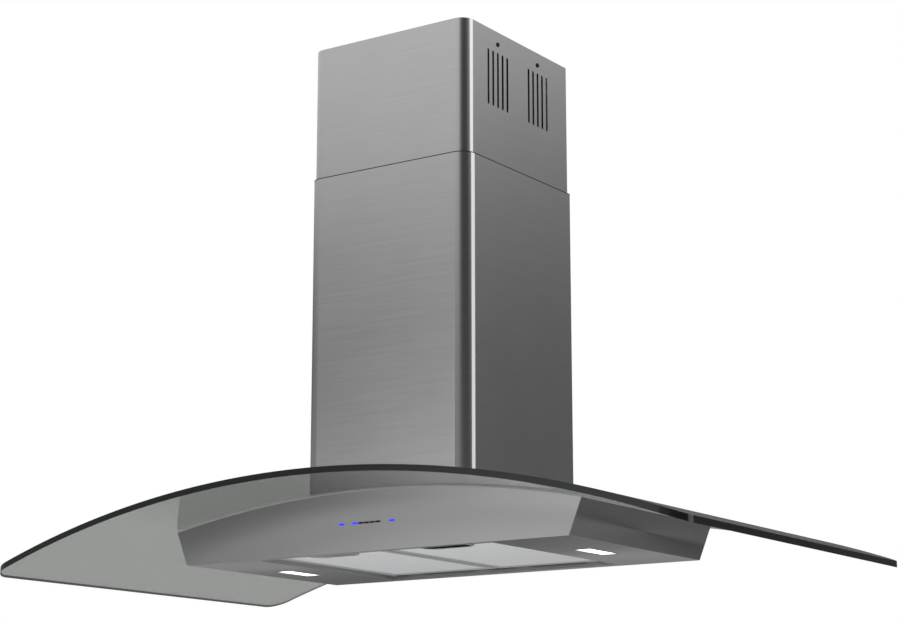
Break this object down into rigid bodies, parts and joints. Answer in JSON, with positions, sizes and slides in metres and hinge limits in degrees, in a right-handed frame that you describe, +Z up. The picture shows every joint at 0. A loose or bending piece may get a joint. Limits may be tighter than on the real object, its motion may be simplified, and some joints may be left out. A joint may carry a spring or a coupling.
{
  "type": "island range hood",
  "caption": "Ceiling-hung island range hood: telescoping steel chimney over a bent tinted glass canopy and a slim steel body with keys, lamps and drop-down grease filters.",
  "frame": {"origin": "middle of the ceiling plate's top face, where the hood meets the ceiling", "axes": "+Z up, -Y is the front with the keys, +X to the right of someone facing the front"},
  "size_m": [1.067, 0.629, 0.7268],
  "materials": {
    "stainless_cover": "fine brushed stainless steel",
    "stainless_underside": "brushed stainless steel",
    "galvanised_steel": "zinc-coated sheet",
    "tinted_glass": "grey tinted, polished edges",
    "seal_rubber": "soft silicone",
    "bright_screws": "bright zinc",
    "filter_aluminium": "satin, layered fine mesh in its frame",
    "black_plastic": "moulded, fine grain",
    "motor_enamel": "enamel",
    "bare_aluminium": "drawn",
    "lamp_diffuser": "opal",
    "board_laminate": "green solder mask",
    "grey_plastic": "moulded",
    "key_dark": "moulded",
    "key_lit": "clear blue, lit from behind"
  },
  "bodies": {
    "ceiling_side": {"ceiling_plate": "galvanised_steel", "upper_posts": "galvanised_steel", "upper_rails": "galvanised_steel", "upper_chimney_front": "stainless_cover", "upper_chimney_rear": "stainless_cover", "upper_chimney_screws": "bright_screws"},
    "hood": {"lower_posts": "galvanised_steel", "lower_rails": "galvanised_steel", "frame_clamp_screws": "bright_screws", "clamp_plate": "galvanised_steel", "glass_canopy": "tinted_glass", "glass_bolts": "bright_screws", "glass_bushes": "seal_rubber", "glass_gasket": "seal_rubber", "deck_sheet": "galvanised_steel", "front_panel": "stainless_cover", "rear_panel": "stainless_cover", "side_panel_left": "stainless_cover", "side_panel_right": "stainless_cover", "underside_sheet": "stainless_underside", "filter_surround": "stainless_underside", "filter_hinge_rod": "bright_screws", "lamp_housing_left": "bare_aluminium", "lamp_housing_right": "bare_aluminium", "lamp_lens_left": "lamp_diffuser", "lamp_lens_right": "lamp_diffuser", "control_board": "board_laminate", "control_cover": "black_plastic", "electronics_box": "black_plastic", "blower_front": "galvanised_steel", "blower_rear": "galvanised_steel", "blower_brackets": "galvanised_steel", "motor_bracket": "galvanised_steel", "fan_motor": "motor_enamel", "capacitor": "bare_aluminium", "outlet_box": "galvanised_steel", "duct_collar": "galvanised_steel", "junction_box": "grey_plastic", "cable_gland": "black_plastic"},
    "chimney_cover": {"lower_chimney_front": "stainless_cover", "lower_chimney_rear": "stainless_cover"},
    "fan": {"fan_wheel": "black_plastic", "fan_shaft": "bright_screws"},
    "flap_left": {"damper_flap_left": "galvanised_steel"},
    "flap_right": {"damper_flap_right": "galvanised_steel"},
    "filter_left": {"filter_frame_left": "filter_aluminium", "filter_mesh_left": "filter_aluminium", "filter_cup_left": "filter_aluminium"},
    "filter_right": {"filter_frame_right": "filter_aluminium", "filter_mesh_right": "filter_aluminium", "filter_cup_right": "filter_aluminium"},
    "catch_left": {"filter_catch_left": "black_plastic"},
    "catch_right": {"filter_catch_right": "black_plastic"},
    "key_power": {"key_power": "key_lit"},
    "key_speed_1": {"key_speed_1": "key_lit"},
    "key_speed_2": {"key_speed_2": "key_dark"},
    "key_speed_3": {"key_speed_3": "key_dark"},
    "key_speed_4": {"key_speed_4": "key_dark"},
    "key_speed_5": {"key_speed_5": "key_dark"},
    "key_light": {"key_light": "key_lit"}
  },
  "joints": [
    {"name": "height_setting", "type": "slide", "parent": "ceiling_side", "child": "hood", "axis": [0, 0, 1], "range_m": [-0.15, 0.06]},
    {"name": "chimney_lift", "type": "slide", "parent": "hood", "child": "chimney_cover", "axis": [0, 0, 1], "range_m": [0, 0.09]},
    {"name": "fan_spin", "type": "hinge", "parent": "hood", "child": "fan", "pos_m": [-0.012, 0, -0.536], "axis": [0, 1, 0], "continuous": true},
    {"name": "flap_left_swing", "type": "hinge", "parent": "hood", "child": "flap_left", "pos_m": [-0.005, 0, -0.361], "axis": [0, 1, 0], "range_deg": [0, 75]},
    {"name": "flap_right_swing", "type": "hinge", "parent": "hood", "child": "flap_right", "pos_m": [0.005, 0, -0.361], "axis": [0, -1, 0], "range_deg": [0, 75]},
    {"name": "filter_left_drop", "type": "hinge", "parent": "hood", "child": "filter_left", "pos_m": [-0.09125, 0.147, -0.7045], "axis": [1, 0, 0], "range_deg": [0, 80]},
    {"name": "catch_left_slide", "type": "slide", "parent": "filter_left", "child": "catch_left", "axis": [0, 1, 0], "range_m": [0, 0.004], "stiffness_N_per_m": 250, "springref_m": -0.002},
    {"name": "filter_right_drop", "type": "hinge", "parent": "hood", "child": "filter_right", "pos_m": [0.09125, 0.147, -0.7045], "axis": [1, 0, 0], "range_deg": [0, 80]},
    {"name": "catch_right_slide", "type": "slide", "parent": "filter_right", "child": "catch_right", "axis": [0, 1, 0], "range_m": [0, 0.004], "stiffness_N_per_m": 250, "springref_m": -0.002},
    {"name": "key_power_press", "type": "slide", "parent": "hood", "child": "key_power", "axis": [0, 1, 0], "range_m": [0, 0.0008], "stiffness_N_per_m": 400, "springref_m": -0.0005},
    {"name": "key_speed_1_press", "type": "slide", "parent": "hood", "child": "key_speed_1", "axis": [0, 1, 0], "range_m": [0, 0.0008], "stiffness_N_per_m": 400, "springref_m": -0.0005},
    {"name": "key_speed_2_press", "type": "slide", "parent": "hood", "child": "key_speed_2", "axis": [0, 1, 0], "range_m": [0, 0.0008], "stiffness_N_per_m": 400, "springref_m": -0.0005},
    {"name": "key_speed_3_press", "type": "slide", "parent": "hood", "child": "key_speed_3", "axis": [0, 1, 0], "range_m": [0, 0.0008], "stiffness_N_per_m": 400, "springref_m": -0.0005},
    {"name": "key_speed_4_press", "type": "slide", "parent": "hood", "child": "key_speed_4", "axis": [0, 1, 0], "range_m": [0, 0.0008], "stiffness_N_per_m": 400, "springref_m": -0.0005},
    {"name": "key_speed_5_press", "type": "slide", "parent": "hood", "child": "key_speed_5", "axis": [0, 1, 0], "range_m": [0, 0.0008], "stiffness_N_per_m": 400, "springref_m": -0.0005},
    {"name": "key_light_press", "type": "slide", "parent": "hood", "child": "key_light", "axis": [0, 1, 0], "range_m": [0, 0.0008], "stiffness_N_per_m": 400, "springref_m": -0.0005}
  ]
}
